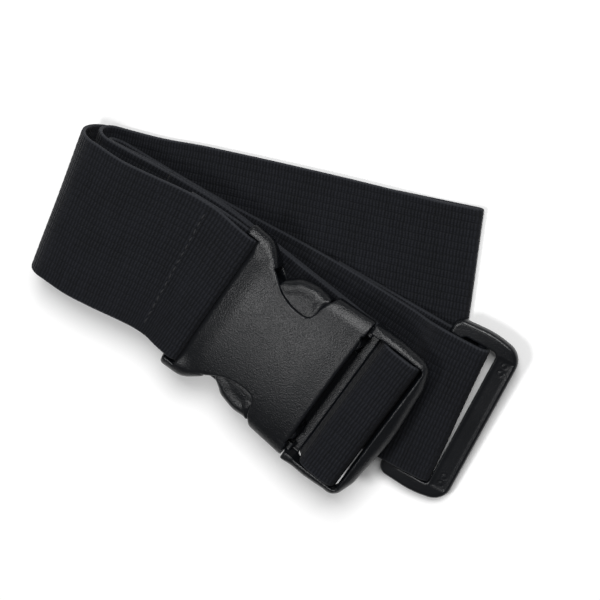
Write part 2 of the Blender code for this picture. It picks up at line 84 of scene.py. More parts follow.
def direction(azimuth, elevation):
    a, e = math.radians(azimuth), math.radians(elevation)
    return Vector((math.cos(e) * math.cos(a), math.cos(e) * math.sin(a), math.sin(e)))


def aim(obj, place, back, up):
    """Puts obj at a place with its Z axis along back and its Y axis as near up as can be."""
    z = back.normalized()
    y = (up - z * up.dot(z)).normalized()
    turn = Matrix((y.cross(z), y, z)).transposed().to_4x4()
    obj.matrix_world = Matrix.Translation(place) @ turn


def add_camera():
    """A long lens from high on the right, where the photograph was taken from."""
    target, distance = Vector((0.006826, -0.009398, 0.0)), 0.65
    azimuth, elevation, up_azimuth = 67.06, 68, 125.06
    focal_pixels, image_width = 1987.8, 600
    back = direction(azimuth, elevation)
    data = bpy.data.cameras.new("camera")
    data.sensor_width = 36
    data.lens = data.sensor_width * focal_pixels / image_width
    camera = bpy.data.objects.new("camera", data)
    bpy.context.scene.collection.objects.link(camera)
    aim(camera, target + back * distance, back, direction(up_azimuth, 0))
    bpy.context.scene.camera = camera


def add_lamp(name, azimuth, elevation, distance, size, power):
    data = bpy.data.lights.new(name, "AREA")
    data.shape = "RECTANGLE"
    data.size, data.size_y = size
    data.energy = power
    lamp = bpy.data.objects.new(name, data)
    bpy.context.scene.collection.objects.link(lamp)
    back = direction(azimuth, elevation)
    aim(lamp, back * distance, back, Vector((0, 0, 1)))


def add_studio():
    add_lamp("overhead", 235, 74, 0.55, (0.12, 0.12), 1.15)
    add_lamp("key", 93, 56, 1.1, (0.55, 0.45), 11.5)
    world = bpy.data.worlds.new("studio")
    world.use_nodes = True
    background = world.node_tree.nodes["Background"]
    background.inputs["Color"].default_value = (1, 1, 1, 1)
    background.inputs["Strength"].default_value = 0.16
    bpy.context.scene.world = world
    bpy.context.scene.view_settings.view_transform = "Standard"
    mesh = bpy.data.meshes.new("floor")
    far = 4.0
    corners = [(-far, -far, 0), (far, -far, 0), (far, far, 0), (-far, far, 0)]
    mesh.from_pydata(corners, [], [(0, 1, 2, 3)])
    floor = bpy.data.objects.new("floor", mesh)
    bpy.context.scene.collection.objects.link(floor)
    mesh.materials.append(floor_material())


# ---- Materials ----


class Nodes:
    """A short way to write a material's node tree."""

    def __init__(self, name):
        self.material = bpy.data.materials.new(name)
        self.material.use_nodes = True
        self.tree = self.material.node_tree
        self.shader = self.tree.nodes["Principled BSDF"]

    def put(self, socket, value):
        if isinstance(value, bpy.types.NodeSocket):
            self.tree.links.new(value, socket)
        else:
            socket.default_value = value

    def add(self, kind, inputs=(), **settings):
        node = self.tree.nodes.new(kind)
        for key, value in settings.items():
            setattr(node, key, value)
        for key, value in dict(inputs).items():
            self.put(node.inputs[key], value)
        return node

    def math(self, operation, a, b=0.0, c=0.0):
        return self.add("ShaderNodeMath", {0: a, 1: b, 2: c}, operation=operation).outputs[0]

    def scaled(self, coordinates, scale):
        inputs = {"Vector": coordinates, "Scale": scale}
        return self.add("ShaderNodeMapping", inputs).outputs[0]

    def noise(self, coordinates, scale, detail=3.0, roughness=0.55):
        inputs = {"Vector": coordinates, "Scale": scale, "Detail": detail, "Roughness": roughness}
        return self.add("ShaderNodeTexNoise", inputs).outputs["Fac"]

    def mapped(self, value, low, high, to_low, to_high):
        inputs = {"Value": value, "From Min": low, "From Max": high}
        inputs |= {"To Min": to_low, "To Max": to_high}
        return self.add("ShaderNodeMapRange", inputs).outputs[0]

    def mixed(self, amount, a, b):
        node = self.add("ShaderNodeMix", data_type="RGBA")
        self.put(node.inputs["Factor"], amount)
        self.put(node.inputs[6], (*a, 1) if isinstance(a, tuple) else a)
        self.put(node.inputs[7], (*b, 1) if isinstance(b, tuple) else b)
        return node.outputs[2]

    def bump(self, height, distance):
        inputs = {"Height": height, "Distance": distance, "Strength": 1.0}
        return self.add("ShaderNodeBump", inputs).outputs[0]

    def finish(self, **inputs):
        for key, value in inputs.items():
            self.put(self.shader.inputs[key.replace("_", " ")], value)
        return self.material


def floor_material():
    n = Nodes("floor")
    place = n.add("ShaderNodeNewGeometry").outputs["Position"]
    colour = n.mixed(n.noise(place, 3.0), (0.90, 0.90, 0.90), (0.92, 0.92, 0.92))
    return n.finish(Base_Color=colour, Roughness=0.9, Specular_IOR_Level=0.1)


def webbing_material():
    """Ribs run along the webbing and the weft crosses them, so each rib is a row of small pillows."""
    n = Nodes("webbing")
    uv = n.add("ShaderNodeUVMap", uv_map="weave").outputs[0]
    parts = n.add("ShaderNodeSeparateXYZ", {0: uv})
    along, over = parts.outputs[0], parts.outputs[1]
    fuzz = n.noise(uv, 1.7, 4.0)
    # Both coordinates are in millimetres. Every other rib is a little out of step.
    weft_pitch, odd_step = 1.1, 0.12
    rib = n.math("DIVIDE", over, RIB_PITCH)
    odd = n.math("MULTIPLY", n.math("MODULO", n.math("FLOOR", rib), 2.0), odd_step)
    wobble = n.math("MULTIPLY", n.math("SUBTRACT", n.noise(uv, 0.35, 2.0), 0.5), 0.5)
    weft = n.math("ADD", n.math("ADD", n.math("DIVIDE", along, weft_pitch), odd), wobble)
    pillow = n.math("ABSOLUTE", n.math("SINE", n.math("MULTIPLY", weft, math.pi)))
    pillow = n.math("POWER", pillow, 1.1)
    crest = n.math("ABSOLUTE", n.math("SINE", n.math("MULTIPLY", rib, math.pi)))
    crest = n.math("POWER", crest, 0.22)
    slanted = n.math("ADD", n.math("MULTIPLY", over, 2.6), along)
    yarn = n.math("SINE", n.math("MULTIPLY", slanted, 4.2))
    weave = n.math("MULTIPLY", pillow, crest)
    height = n.math("ADD", weave, n.math("MULTIPLY", yarn, 0.10))
    height = n.math("ADD", height, n.math("MULTIPLY", fuzz, 0.5))
    # Broad patches, and rows of weft that are lighter or darker than their neighbours.
    patch = n.noise(uv, 0.06, 3.0)
    rows = n.noise(n.scaled(uv, (0.8, 0.07, 1)), 1.0, 3.0, 0.7)
    # Painted shade: the weave's crests are lighter and its valleys and the grooves between ribs darker in
    # colour.
    tone = n.math("MULTIPLY_ADD", weave, 0.62, n.math("MULTIPLY", fuzz, 0.42))
    tone = n.math("ADD", tone, n.math("MULTIPLY", n.math("SUBTRACT", rows, 0.5), 0.9))
    tone = n.math("ADD", tone, n.math("MULTIPLY", n.math("SUBTRACT", patch, 0.5), 0.5))
    dark, light = (0.0007, 0.0010, 0.0016), (0.0074, 0.0083, 0.0117)
    colour = n.mixed(n.mapped(tone, 0.05, 1.0, 0.0, 1.0), dark, light)
    # The selvedge, whose loops of weft catch the light.
    from_middle = n.math("ABSOLUTE", n.math("SUBTRACT", over, WEB_WIDTH / 2))
    edge = n.mapped(from_middle, 24.3, 24.7, 0.0, 0.9)
    colour = n.mixed(edge, colour, (0.020, 0.0215, 0.026))
    rough = n.mapped(fuzz, 0.2, 0.8, 0.62, 0.86)
    return n.finish(
        Base_Color=colour,
        Roughness=rough,
        Sheen_Weight=0.03,
        Sheen_Roughness=0.45,
        Specular_IOR_Level=0.16,
        Normal=n.bump(height, 0.25 * MM),
    )


def plastic_material(name, low, high, roughness, grain):
    """Moulded plastic with a fine spark-eroded grain, polished a little along its edges, whose colour is
    lighter there: partly rubbed wear, partly a painted highlight.
    """
    n = Nodes(name)
    place = n.add("ShaderNodeTexCoord").outputs["Object"]
    fine = n.noise(place, 2300, 2.0, 0.6)
    voronoi = n.add("ShaderNodeTexVoronoi", {"Vector": place, "Scale": 2600.0}, feature="SMOOTH_F1")
    cells = voronoi.outputs["Distance"]
    broad = n.noise(place, 60, 4.0)
    pointed = n.add("ShaderNodeNewGeometry").outputs["Pointiness"]
    edge = n.mapped(pointed, 0.515, 0.60, 0.0, 1.0)
    scuff_and_glint_breakup = n.noise(n.scaled(place, (900, 120, 900)), 1.0, 5.0, 0.7)
    colour = n.mixed(n.mapped(n.math("ADD", fine, broad), 0.7, 1.3, 0.0, 1.0), low, high)
    # Sharp edges are painted lighter in broken patches: partly rubbed wear, partly a painted highlight.
    edge_wear_and_highlight = n.math("MULTIPLY", edge, n.mapped(scuff_and_glint_breakup, 0.35, 0.65, 0.25, 0.7))
    colour = n.mixed(edge_wear_and_highlight, colour, tuple(1.9 * c for c in high))
    rough = n.mapped(broad, 0.25, 0.75, roughness - 0.04, roughness + 0.05)
    rough = n.math("ADD", rough, n.math("MULTIPLY", edge, -0.06))
    height = n.math("ADD", n.math("MULTIPLY", cells, 0.6), fine)
    return n.finish(
        Base_Color=colour,
        Roughness=rough,
        Specular_IOR_Level=0.28,
        Normal=n.bump(height, grain),
    )


def thread_material():
    n = Nodes("thread")
    place = n.add("ShaderNodeTexCoord").outputs["Object"]
    fibres = n.noise(n.scaled(place, (2600, 900, 2600)), 1.0, 3.0)
    colour = n.mixed(fibres, (0.008, 0.0085, 0.010), (0.026, 0.0265, 0.029))
    return n.finish(
        Base_Color=colour,
        Roughness=0.75,
        Specular_IOR_Level=0.2,
        Normal=n.bump(fibres, 0.08 * MM),
    )


# ---- The webbing's route ----
# Each stop is x, y, z in millimetres, then the heading and the bank in degrees.


def stop(x, y, z, heading=0.0, bank=0.0):
    return np.array([x, y, z, heading, bank], float)


def smooth_run(stops, spacing=0.8):
    """Stops close together along a smooth curve through the given ones."""
    run = [stops[0]]
    for i in range(len(stops) - 1):
        a, b = stops[max(i - 1, 0)], stops[i]
        c, d = stops[i + 1], stops[min(i + 2, len(stops) - 1)]
        stretch = np.linalg.norm((c - b)[:3])
        before = stretch / max(np.linalg.norm((c - a)[:3]), 1e-9)
        after = stretch / max(np.linalg.norm((d - b)[:3]), 1e-9)
        for t in np.linspace(0, 1, max(2, round(stretch / spacing)) + 1)[1:]:
            h1, h2 = 2 * t**3 - 3 * t**2 + 1, t**3 - 2 * t**2 + t
            h3, h4 = 3 * t**2 - 2 * t**3, t**3 - t**2
            run.append(b * h1 + (c - a) * (before * h2) + c * h3 + (d - b) * (after * h4))
    return run


def fold(low, high, depth, toward, steps=28):
    """A half turn from the stop low up to the stop high, bulging by depth towards -X or +X."""
    turn = []
    for angle in np.linspace(0, math.pi, steps + 1):
        place = low + (high - low) * (1 - math.cos(angle)) / 2
        heading = math.radians(place[3])
        reach = toward * depth * math.sin(angle)
        place[:2] += np.array([math.cos(heading), math.sin(heading)]) * reach
        turn.append(place)
    return turn


def adjuster_matrix():
    turn = Matrix.Rotation(math.radians(ADJUSTER_HEADING), 4, "Z")
    drop = Matrix.Rotation(math.radians(ADJUSTER_DROP), 4, "Y")
    bank = Matrix.Rotation(math.radians(ADJUSTER_BANK), 4, "X")
    return Matrix.Translation(ADJUSTER_CENTRE) @ turn @ drop @ bank


def on_adjuster(u, height):
    """A stop on the middle of the adjuster, at U and at a height over its middle plane."""
    return stop(*(adjuster_matrix() @ Vector((u, 0, height))), LOOP_HEADING, ADJUSTER_BANK)


def webbing_route():
    """The whole length of webbing: its cut ends are inside the buckle's and the adjuster's loops."""
    under, over = BUCKLE_MIDDLE - END_LOOP_RADIUS, BUCKLE_MIDDLE + END_LOOP_RADIUS
    leg = smooth_run([
        stop(-59.5, 0.0, TOP_Z + 0.3 - LAYER, 8),
        stop(-51, 1.2, TOP_Z + 0.5 - LAYER, 4),
        stop(-45, 1.0, under + 0.9, 1),
        stop(END_BAR_X, 0.8, under),
    ])
    top = smooth_run([
        stop(END_BAR_X, 0.8, over),
        stop(-45, 1.0, over - 0.2, 1),
        stop(-51, 1.2, TOP_Z + 0.5, 4),
        stop(-59.5, 0.0, TOP_Z + 0.3, 8),
        stop(-75, -4.0, TOP_Z + 0.1, 10),
        stop(-84, -6.0, TOP_Z, 10),
        stop(-93.5, -6.8, TOP_Z - 0.1, 10.5),
    ])
    bottom = smooth_run([
        stop(-93.0, -4.2, BOTTOM_Z, 16),
        stop(-78, 1.8, BOTTOM_Z, 21),
        stop(-60, 10.4, BOTTOM_Z, 25.5),
        stop(-20, 30.1, BOTTOM_Z, 27),
        stop(23.6, 51.6, BOTTOM_Z, 28),
    ])
    upper = smooth_run([
        stop(23.6, 51.6, 3.2, 28),
        stop(12, 45.7, UPPER_Z + 0.2, 28),
        stop(-20, 31.2, UPPER_Z, 27),
        stop(-60, 12.2, UPPER_Z, 25.5),
        stop(-76, 4.0, UPPER_Z, 21.5),
        stop(-91.0, -2.4, UPPER_Z, 17),
    ])
    feed = smooth_run([
        stop(-90.6, -5.0, 13.0, 12),
        stop(-70, -1.6, 12.2, 9),
        stop(-52, 0.5, FEED_Z + 0.2, 3),
        stop(END_BAR_X, 0.8, FEED_Z),
        stop(-15, 0.8, FEED_Z),
        stop(7, 0.8, FEED_Z),
    ])
    # Round the grip bar, as X and Z.
    wrap = [(12, FEED_Z + 0.6), (15, 14.6), (16, 18.0), (16.9, 20.2), (19.3, 20.95)]
    wrap += [(22.8, 21.1), (26.0, 20.95), (28.1, 20.1), (28.9, 18.0), (28.4, 14.6)]
    wrap += [(26.0, 11.7), (21.0, RETURN_Z + 0.6), (14, RETURN_Z)]
    wrap = smooth_run([feed[-1]] + [stop(x, BUCKLE_Y, z) for x, z in wrap], 0.4)
    back = smooth_run([
        stop(14, 0.8, RETURN_Z),
        stop(END_BAR_X, 0.8, RETURN_Z),
        stop(-52, 0.5, RETURN_Z, 3),
        stop(-70, -1.8, RETURN_Z - 0.1, 9),
        stop(-89.0, -5.6, RETURN_Z - 0.2, 13.5),
    ])
    # Half the webbing's spread beside the adjuster's frame, over its middle bar, and round the bar.
    half, rise, bulge = 2.8, 2.4, 3.5
    to_adjuster = smooth_run([
        stop(-89.0, -5.6, LEG_Z, 13.5),
        stop(-55, -0.9, LEG_Z, 10),
        stop(-22, 5.3, LEG_Z + 0.4, 9),
        stop(-8, 7.9, ADJUSTER_RUN_Z, 7),
        stop(12, 10.3, ADJUSTER_RUN_Z, 6),
        stop(20.5, 11.4, ADJUSTER_RUN_Z + 0.4, 7, 0.8),
        stop(24.8, 12.0, ADJUSTER_RUN_Z + 1.3, 8, 1.8),
        on_adjuster(-12.3, half),
        on_adjuster(-7, half),
        on_adjuster(ADJUSTER_BAR_U, rise),
    ])
    around = [
        on_adjuster(ADJUSTER_BAR_U + bulge * math.sin(angle), rise * math.cos(angle))
        for angle in np.linspace(0, math.pi, 25)[1:-1]
    ]
    last_leg = smooth_run([
        on_adjuster(ADJUSTER_BAR_U, -rise),
        on_adjuster(-7, -half),
        on_adjuster(-12.3, -half),
        stop(24, 13.4, LEG_Z + 1.0, 9, 2.0),
        stop(12, 11.0, LEG_Z, 8),
        stop(-10, 7.6, LEG_Z, 8),
    ])
    stretches = [
        leg,
        fold(leg[-1], top[0], END_LOOP_RADIUS, 1),
        top,
        fold(bottom[0], top[-1], 8, -1)[::-1],
        bottom,
        fold(bottom[-1], upper[0], 1.9, 1),
        upper,
        fold(upper[-1], feed[0], 6.2, -1),
        feed,
        wrap,
        back,
        fold(to_adjuster[0], back[-1], 4.2, -1)[::-1],
        to_adjuster,
        around,
        last_leg,
    ]
    return np.array([place for stretch in stretches for place in stretch])


def evened(route, spacing=0.25, blur=0.6):
    """The route with even spacing and its small kinks smoothed out, and the length along it."""
    keep = np.append(True, np.linalg.norm(np.diff(route[:, :3], axis=0), axis=1) > 1e-4)
    route = route[keep]
    reach = np.append(0, np.cumsum(np.linalg.norm(np.diff(route[:, :3], axis=0), axis=1)))
    even = np.linspace(0, reach[-1], round(reach[-1] / spacing) + 1)
    route = np.stack([np.interp(even, reach, column) for column in route.T], axis=1)
    side = round(4 * blur / spacing)
    weights = np.exp(-((np.arange(-side, side + 1) * spacing / blur) ** 2) / 2)
    first = 2 * route[0] - route[side:0:-1]
    last = 2 * route[-1] - route[-2 : -side - 2 : -1]
    padded = np.concatenate([first, route, last])
    weights /= weights.sum()
    route = np.stack([np.convolve(column, weights, "valid") for column in padded.T], axis=1)
    return route, even


def rows_for(route, even):
    """Places along the route to put rows of vertices: closer together where it bends."""
    tangent = np.gradient(route[:, :3], even, axis=0)
    tangent /= np.linalg.norm(tangent, axis=1)[:, None]
    bend = np.linalg.norm(np.gradient(tangent, even, axis=0), axis=1)
    density = np.maximum(0.5, np.minimum(bend / 0.2, 2.4))
    count = np.append(0, np.cumsum((density[1:] + density[:-1]) / 2 * np.diff(even)))
    return np.interp(np.linspace(0, count[-1], math.ceil(count[-1]) + 1), count, even)


def rib_columns():
    """Places across the webbing for columns of vertices, and the half thickness at each."""
    marks = [0.0, 0.1, 0.3, 0.5, 0.7, 0.9]
    over = [RIB_PITCH * (rib + mark) for rib in range(RIBS) for mark in marks]
    rim = [0.0, 0.08, 0.25]
    over = [place for place in over if 0.4 < place < WEB_WIDTH - 0.4]
    over = np.array(sorted(rim + over + [WEB_WIDTH - place for place in rim]))
    groove = 1 - np.abs(np.sin(np.pi * over / RIB_PITCH)) ** 0.6
    from_edge = np.clip(np.minimum(over, WEB_WIDTH - over) / 0.55, 0, 1)
    groove[from_edge < 1] = 0
    roundness = np.maximum(np.sqrt(1 - (1 - from_edge) ** 2), 0.3)
    return over, (WEB_HALF - GROOVE_DEPTH * groove) * roundness


def strip_mesh(name, route, even, places):
    """The solid ribbed strip along part of the route."""
    over, half = rib_columns()
    at = np.stack([np.interp(places, even, column) for column in route.T], axis=1)
    tangent = np.gradient(route[:, :3], even, axis=0)
    tangent = np.stack([np.interp(places, even, column) for column in tangent.T], axis=1)
    tangent /= np.linalg.norm(tangent, axis=1)[:, None]
    heading, bank = np.radians(at[:, 3]), np.radians(at[:, 4])
    level = np.cos(bank)
    across = np.stack([-np.sin(heading) * level, np.cos(heading) * level, np.sin(bank)], axis=1)
    normal = np.cross(tangent, across)
    normal /= np.linalg.norm(normal, axis=1)[:, None]
    side = over - WEB_WIDTH / 2
    middle = at[:, None, :3] + across[:, None] * side[None, :, None]
    # Real webbing never lies quite flat.
    sway = 0.07 * np.sin(places[:, None] / 9.0 + side[None] / 7.0)
    sway = sway * np.sin(places[:, None] / 23.0 + 1.3)
    lift = normal[:, None] * half[None, :, None]
    middle = middle + normal[:, None] * sway[..., None]
    ring = np.concatenate([middle + lift, (middle - lift)[:, ::-1]], axis=1)
    rows, size = ring.shape[:2]
    columns = len(over)
    index = np.arange(rows * size).reshape(rows, size)
    after = np.roll(index, -1, axis=1)
    quads = np.stack([index[:-1], index[1:], after[1:], after[:-1]], axis=-1).reshape(-1, 4)
    j = np.arange(columns - 1)
    cap = np.stack([j, j + 1, size - 2 - j, size - 1 - j], axis=1)
    quads = np.concatenate([quads, cap, (rows - 1) * size + cap[:, ::-1]])
    points = (ring.reshape(-1, 3) + SHIFT) * MM
    mesh = new_mesh(name, points, quads)
    layer = mesh.uv_layers.new(name="weave")
    around = np.concatenate([over, over[::-1]])
    uv = np.stack([np.repeat(places, size), np.tile(around, rows)], axis=1)
    layer.data.foreach_set("uv", uv[quads.reshape(-1)].astype(np.float32).reshape(-1))
    return mesh


def new_mesh(name, points, quads):
    """A smooth-shaded mesh of quads, turned the right way out."""
    a, b, c, d = (points[quads[:, k]] for k in range(4))
    volume = np.einsum("ij,ij->i", a, np.cross(b, c) + np.cross(c, d)).sum()
    if volume < 0:
        quads[:] = quads[:, ::-1]
    mesh = bpy.data.meshes.new(name)
    mesh.vertices.add(len(points))
    mesh.vertices.foreach_set("co", points.astype(np.float32).reshape(-1))
    mesh.loops.add(quads.size)
    mesh.loops.foreach_set("vertex_index", quads.astype(np.int32).reshape(-1))
    mesh.polygons.add(len(quads))
    mesh.polygons.foreach_set("loop_start", np.arange(0, quads.size, 4, dtype=np.int32))
    mesh.update(calc_edges=True)
    mesh.polygons.foreach_set("use_smooth", np.ones(len(quads), bool))
    mesh.validate()
    return mesh


def add_piece(name, mesh, material):
    piece = bpy.data.objects.new(name, mesh)
    bpy.context.scene.collection.objects.link(piece)
    mesh.materials.append(material)
    return piece


def reach_at(route, even, place):
    """The length along the route at the point nearest to a place."""
    return even[np.argmin(np.linalg.norm(route[:, :3] - place, axis=1))]


def add_webbing():
    """The webbing in three pieces: the first and the last ride on the strap's body, the middle one on none.
    """
    material = webbing_material()
    route, even = evened(webbing_route())
    first_join = reach_at(route, even, (-70, -1.6, 12.2))
    second_join = reach_at(route, even, (-70, -1.8, RETURN_Z - 0.1))
    rows = rows_for(route, even)
    made = {}
    names = ("webbing_main", "webbing_tongue", "webbing_inner")
    ends = [0, first_join, second_join, even[-1]]
    for name, start, end in zip(names, ends, ends[1:]):
        inside = rows[(rows > start + 0.2) & (rows < end - 0.2)]
        places = np.concatenate([[start], inside, [end]])
        mesh = strip_mesh(name, route, even, places)
        made[name] = add_piece(name, mesh, material)
    main, tongue, inner = made.values()
    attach(main, "strap")
    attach(inner, "strap")
    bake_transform(tongue)
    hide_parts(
        "webbing_buckle_loop",
        "webbing_top_run",
        "webbing_outer_fold",
        "webbing_bottom_run",
        "webbing_right_fold",
        "webbing_upper_run",
        "webbing_middle_fold",
        "webbing_feed_run",
    )
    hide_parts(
        "webbing_under_buckle_feed",
        "webbing_grip_bar_wrap",
        "webbing_under_buckle_return",
    )
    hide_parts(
        "webbing_return_run",
        "webbing_inner_fold",
        "webbing_adjuster_run",
        "webbing_adjuster_loop",
    )


# ---- Stitching ----


def stitch_row(place, heading, span, pitch=2.9):
    """A row of twisted stitches across the webbing, each dipping into it at both ends."""
    heading = math.radians(heading)
    across = np.array([-math.sin(heading), math.cos(heading), 0])
    outward = np.array([math.cos(heading), math.sin(heading), 0])
    upward = np.array([0, 0, 1])
    radius, sides, steps = 0.30, 10, 15
    sunk, arch_height = 0.40, 0.62
    count = round(span / pitch)
    points, faces = [], []
    for k in range(count):
        middle = (k - (count - 1) / 2) * pitch
        slant = rng.uniform(-0.12, 0.12)
        length = pitch * 0.8 + rng.uniform(-0.1, 0.1)
        base = len(points)
        for i in range(steps + 1):
            t = i / steps
            arch = math.sin(math.pi * t) ** 0.5
            centre = np.array(place) + across * (middle + (t - 0.5) * length)
            centre = centre + np.array([slant * (t - 0.5) * 4, 0, -sunk + arch_height * arch])
            for j in range(sides):
                angle = 2 * math.pi * j / sides
                ply = 1 + 0.16 * math.cos(2 * (angle - 5.5 * t))
                r = radius * ply * (0.55 + 0.45 * arch)
                points.append(centre + (outward * math.cos(angle) + upward * math.sin(angle)) * r)
        for i in range(steps):
            for j in range(sides):
                a, b = base + i * sides + j, base + i * sides + (j + 1) % sides
                faces.append((a, b, b + sides, a + sides))
        # Each end is closed by a fan of four-sided faces.
        for end in (base, base + steps * sides):
            faces += [(end, end + j, end + j + 1, end + j + 2) for j in range(1, sides - 1, 2)]
    return points, faces


def add_stitching():
    material = thread_material()
    buckle_row, adjuster_row = (-53.2, 1.0, TOP_Z + 1.12), (-1.5, 4.6, ADJUSTER_RUN_Z + 0.75)
    for name, node, place, heading, span in (
        ("stitches_at_buckle", "buckle_loop_stitching", buckle_row, 5, 44),
        ("stitches_at_adjuster", "adjuster_loop_stitching", adjuster_row, 8, 34),
    ):
        points, faces = stitch_row(place, heading, span)
        mesh = bpy.data.meshes.new(name)
        mesh.from_pydata([tuple((point + SHIFT) * MM) for point in points], [], faces)
        mesh.polygons.foreach_set("use_smooth", np.ones(len(mesh.polygons), bool))
        mesh.update()
        piece = add_piece(name, mesh, material)
        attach(piece, "strap")
        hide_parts(node)


# ---- Moulded shapes ----
# Each shape is a field: the distance to its surface in millimetres, below zero inside it.


def meet(a, b, r):
    """Both shapes at once, with the edge between them rounded to radius r."""
    return np.minimum(np.maximum(a, b), -r) + np.hypot(np.maximum(a + r, 0), np.maximum(b + r, 0))


def join(a, b, r):
    """Either shape, with the corner between them filled to radius r."""
    return np.maximum(np.minimum(a, b), r) - np.hypot(np.maximum(r - a, 0), np.maximum(r - b, 0))


def box_field(x, y, half_x, half_y, r=0.0):
    """A rectangle about the origin with rounded corners."""
    dx, dy = np.abs(x) - half_x + r, np.abs(y) - half_y + r
    return np.hypot(np.maximum(dx, 0), np.maximum(dy, 0)) + np.minimum(np.maximum(dx, dy), 0) - r


def span_field(x, low, high):
    """The slab between two values of x."""
    return np.abs(x - (low + high) / 2) - (high - low) / 2


def eased(value, low, high):
    """0 up to low and 1 from high on, with a smooth step between."""
    t = np.clip((value - low) / (high - low), 0, 1)
    return t * t * (3 - 2 * t)


def rounded(corners, steps=8):
    """The outline through corners (x, y, radius), with each corner rounded to its radius."""
    outline = []
    for i, (x, y, radius) in enumerate(corners):
        corner = np.array([x, y], float)
        before = np.array(corners[i - 1][:2]) - corner
        after = np.array(corners[(i + 1) % len(corners)][:2]) - corner
        before, after = before / np.linalg.norm(before), after / np.linalg.norm(after)
        half = math.acos(np.clip(before @ after, -1, 1)) / 2
        reach = radius / math.tan(half)
        inward = (before + after) / np.linalg.norm(before + after)
        middle = corner + inward * (radius / math.sin(half))
        first, last = corner + before * reach - middle, corner + after * reach - middle
        for t in np.linspace(0, 1, steps + 1):
            way = first + (last - first) * t
            outline.append(middle + way / np.linalg.norm(way) * radius)
    return np.array(outline)


def flowing(stops):
    """A smooth open curve through the given places, as a list of points."""
    curve = smooth_run([stop(x, y, 0) for x, y in stops], 1.0)
    return [tuple(place[:2]) for place in curve]


def mirrored(corners):
    """The corners followed by their mirror images on the other side of the X axis."""
    return corners + [(x, -y, r) for x, y, r in reversed(corners)]


def outline_field(outline):
    """The distance to a closed outline, as a function of x and y."""
    outline = np.asarray(outline, float)
    edges = list(zip(outline, np.roll(outline, -1, axis=0)))

    def distance(x, y):
        nearest = np.full(np.broadcast(x, y).shape, np.inf)
        inside = np.zeros(nearest.shape, bool)
        for (ax, ay), (bx, by) in edges:
            ex, ey = bx - ax, by - ay
            px, py = x - ax, y - ay
            t = np.clip((px * ex + py * ey) / (ex * ex + ey * ey), 0, 1)
            nearest = np.minimum(nearest, (px - ex * t) ** 2 + (py - ey * t) ** 2)
            if ey:
                inside ^= ((ay > y) != (by > y)) & (px < py * (ex / ey))
        return np.where(inside, -1, 1) * np.sqrt(nearest)

    return distance


def surface_of(field, low, high, step):
    """The surface of a field as (points, quads): one point in each cell that it crosses, moved onto it."""
    axes = [np.arange(a, b + step, step) for a, b in zip(low, high)]
    value = field(*np.ix_(*axes))
    cells = [len(axis) - 1 for axis in axes]
    total, count = np.zeros((*cells, 3)), np.zeros(cells)
    edges = []
    for axis in range(3):
        others = [k for k in range(3) if k != axis]
        near = np.moveaxis(value, axis, 0)[:-1]
        far = np.moveaxis(value, axis, 0)[1:]
        crosses = np.moveaxis((near < 0) != (far < 0), 0, axis)
        share = np.moveaxis(near / np.where(near == far, 1, near - far), 0, axis)
        edges.append(crosses)
        for first in (0, 1):
            for second in (0, 1):
                part = [slice(None)] * 3
                part[others[0]] = slice(first, first + cells[others[0]])
                part[others[1]] = slice(second, second + cells[others[1]])
                hit = crosses[tuple(part)]
                count += hit
                total[..., axis] += np.where(hit, share[tuple(part)], 0)
                total[..., others[0]] += hit * first
                total[..., others[1]] += hit * second
    active = count > 0
    index = np.full(cells, -1)
    index[active] = np.arange(active.sum())
    points = np.array(low) + step * (np.argwhere(active) + total[active] / count[active][:, None])
    quads = []
    for axis, crosses in enumerate(edges):
        others = [k for k in range(3) if k != axis]
        inner = [slice(None)] * 3
        for k in others:
            inner[k] = slice(1, -1)
        at = np.argwhere(crosses[tuple(inner)])
        at[:, others] += 1
        ring = []
        for first, second in ((1, 1), (0, 1), (0, 0), (1, 0)):
            cell = at.copy()
            cell[:, others[0]] -= first
            cell[:, others[1]] -= second
            ring.append(index[tuple(cell.T)])
        ring = np.stack(ring, axis=1)
        outward = (value[tuple(at.T)] < 0) != (axis == 1)
        quads.append(np.where(outward[:, None], ring, ring[:, ::-1]))
    return settled(points, field, step), np.concatenate(quads)


def settled(points, field, step):
    """The points moved onto the surface."""
    nudge = 0.02
    for _ in range(3):
        here = field(*points.T)
        ahead = [field(*(points + nudge * way).T) for way in np.eye(3)]
        slope = np.stack([value - here for value in ahead], axis=1) / nudge
        move = slope * (here / np.maximum((slope**2).sum(axis=1), 0.05))[:, None]
        size = np.linalg.norm(move, axis=1)[:, None]
        points = points - move * np.minimum(1, 0.7 * step / np.maximum(size, 1e-9))
    return points


def add_moulding(name, node, body, material, field, low, high, step, place):
    """A piece from the field between the corners low and high, put in the row frame by place."""
    points, quads = surface_of(field, low, high, step)
    place = np.array(place)
    points = points @ place[:3, :3].T + place[:3, 3]
    mesh = new_mesh(name, (points + SHIFT) * MM, quads)
    piece = add_piece(name, mesh, material)
    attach(piece, body)
    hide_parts(node)


# ---- Buckle ----

# The buckle's fields have their origin at its middle, with X towards the adjuster.
SLEEVE_START, MOUTH_X = -40.4, 9.55

# The side window, past the ear, along the arm's head and back out to the shoulder.
WINDOW = [(-32.6, 33)]
WINDOW += flowing([
    (-31.2, 29.6), (-29.4, 27.0), (-26.6, 23.7), (-23.4, 20.4),
    (-19.8, 17.8), (-15.5, 16.3), (-11.6, 15.9), (-9.0, 16.3),
])
WINDOW += flowing([(-7.9, 17.3), (-7.0, 19.6), (-6.6, 22.0), (-5.4, 24.6), (-4.2, 26.6)])
WINDOW += [(-4.0, 33)]
window_field = outline_field(WINDOW)


def crown(y):
    """How far the buckle's top falls away towards its sides."""
    return 2.2 * (y / 28) ** 2 + 1.2 * (y / 28) ** 4


